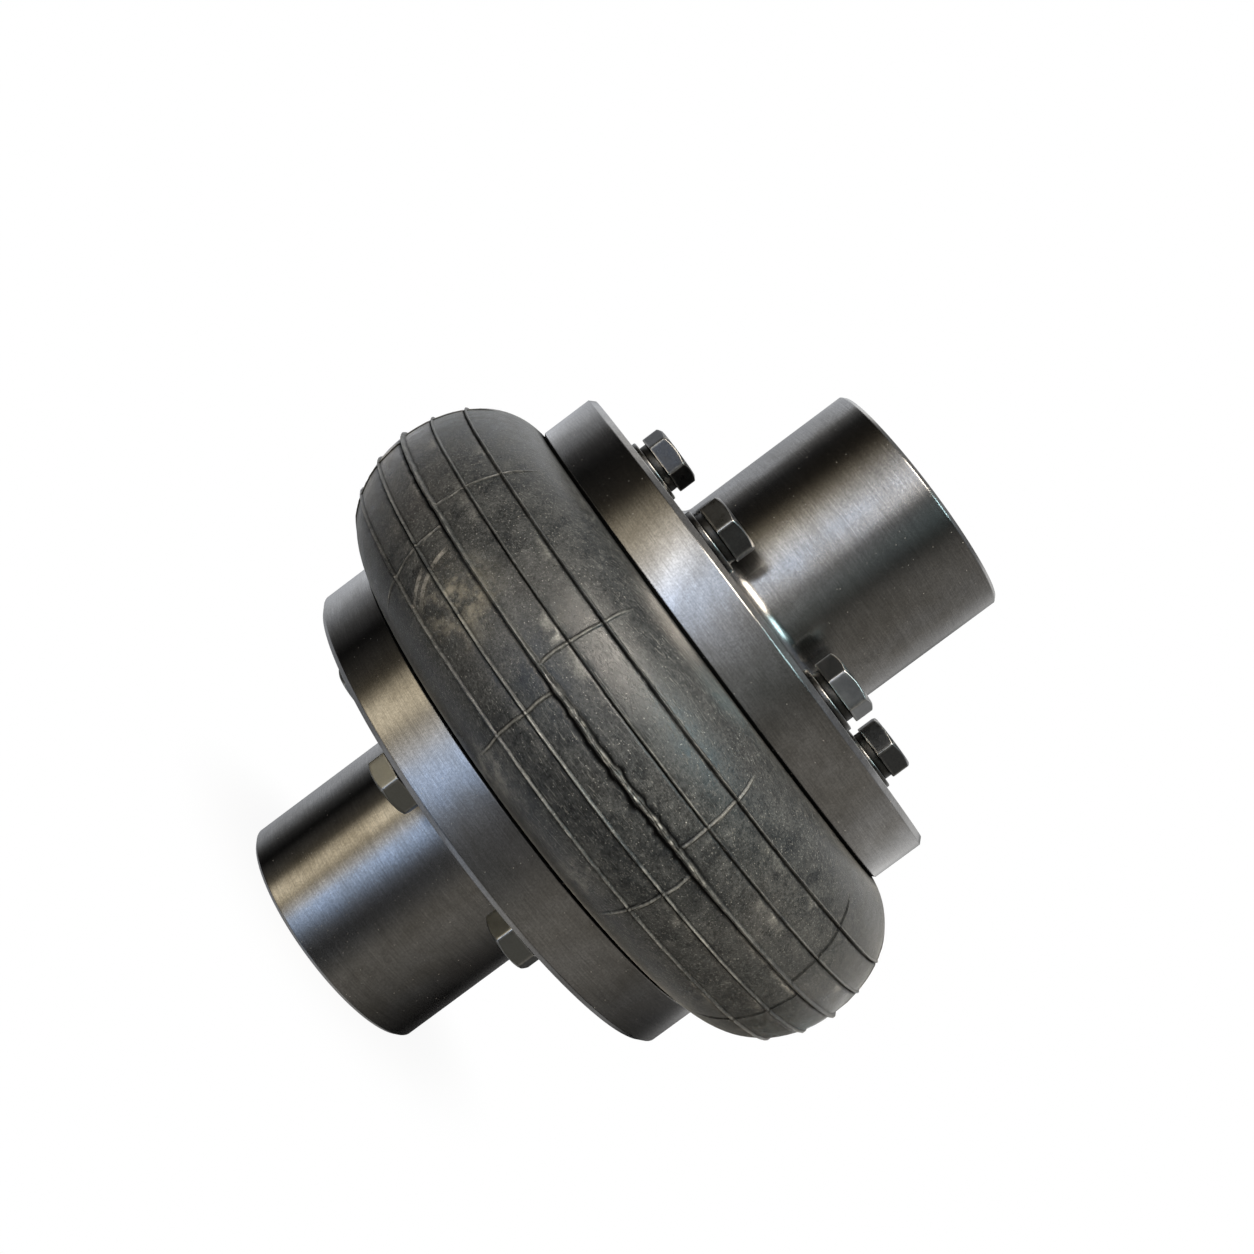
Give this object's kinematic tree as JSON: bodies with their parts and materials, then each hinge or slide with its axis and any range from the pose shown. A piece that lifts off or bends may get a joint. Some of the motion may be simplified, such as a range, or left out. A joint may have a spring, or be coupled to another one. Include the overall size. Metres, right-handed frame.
{
  "type": "tyre coupling",
  "caption": "Flexible shaft coupling with flanged steel hubs joined by a split, ribbed rubber tyre that screwed clamping rings hold from inside.",
  "frame": {"origin": "on the shaft axis at the middle of the tyre, which is the centre of the box", "axes": "+Z along the shaft axis towards the upper hub; +Y towards the keyways and the tyre's split"},
  "size_m": [0.214, 0.214, 0.2186],
  "materials": {
    "machined_steel": "turned, oiled, darkened",
    "ring_steel": "turned, oiled",
    "black_screw_steel": "black oxide",
    "washer_steel": "tumbled, oiled",
    "spring_steel": "black oxide",
    "tyre_rubber": "moulded, dusty"
  },
  "bodies": {
    "root": {"tyre": "tyre_rubber", "upper_hub": "machined_steel", "upper_clamping_ring": "ring_steel", "upper_set_screw": "black_screw_steel", "lower_hub": "machined_steel", "lower_clamping_ring": "ring_steel", "lower_set_screw": "black_screw_steel", "upper_screw_1": "black_screw_steel", "upper_screw_2": "black_screw_steel", "upper_screw_3": "black_screw_steel", "upper_screw_4": "black_screw_steel", "upper_screw_5": "black_screw_steel", "upper_screw_6": "black_screw_steel", "upper_washer_1": "washer_steel", "upper_washer_2": "washer_steel", "upper_washer_3": "washer_steel", "upper_washer_4": "washer_steel", "upper_washer_5": "washer_steel", "upper_washer_6": "washer_steel", "upper_spring_washer_1": "spring_steel", "upper_spring_washer_2": "spring_steel", "upper_spring_washer_3": "spring_steel", "upper_spring_washer_4": "spring_steel", "upper_spring_washer_5": "spring_steel", "upper_spring_washer_6": "spring_steel", "lower_screw_1": "black_screw_steel", "lower_screw_2": "black_screw_steel", "lower_screw_3": "black_screw_steel", "lower_screw_4": "black_screw_steel", "lower_screw_5": "black_screw_steel", "lower_screw_6": "black_screw_steel", "lower_washer_1": "washer_steel", "lower_washer_2": "washer_steel", "lower_washer_3": "washer_steel", "lower_washer_4": "washer_steel", "lower_washer_5": "washer_steel", "lower_washer_6": "washer_steel", "lower_spring_washer_1": "spring_steel", "lower_spring_washer_2": "spring_steel", "lower_spring_washer_3": "spring_steel", "lower_spring_washer_4": "spring_steel", "lower_spring_washer_5": "spring_steel", "lower_spring_washer_6": "spring_steel"}
  },
  "joints": []
}
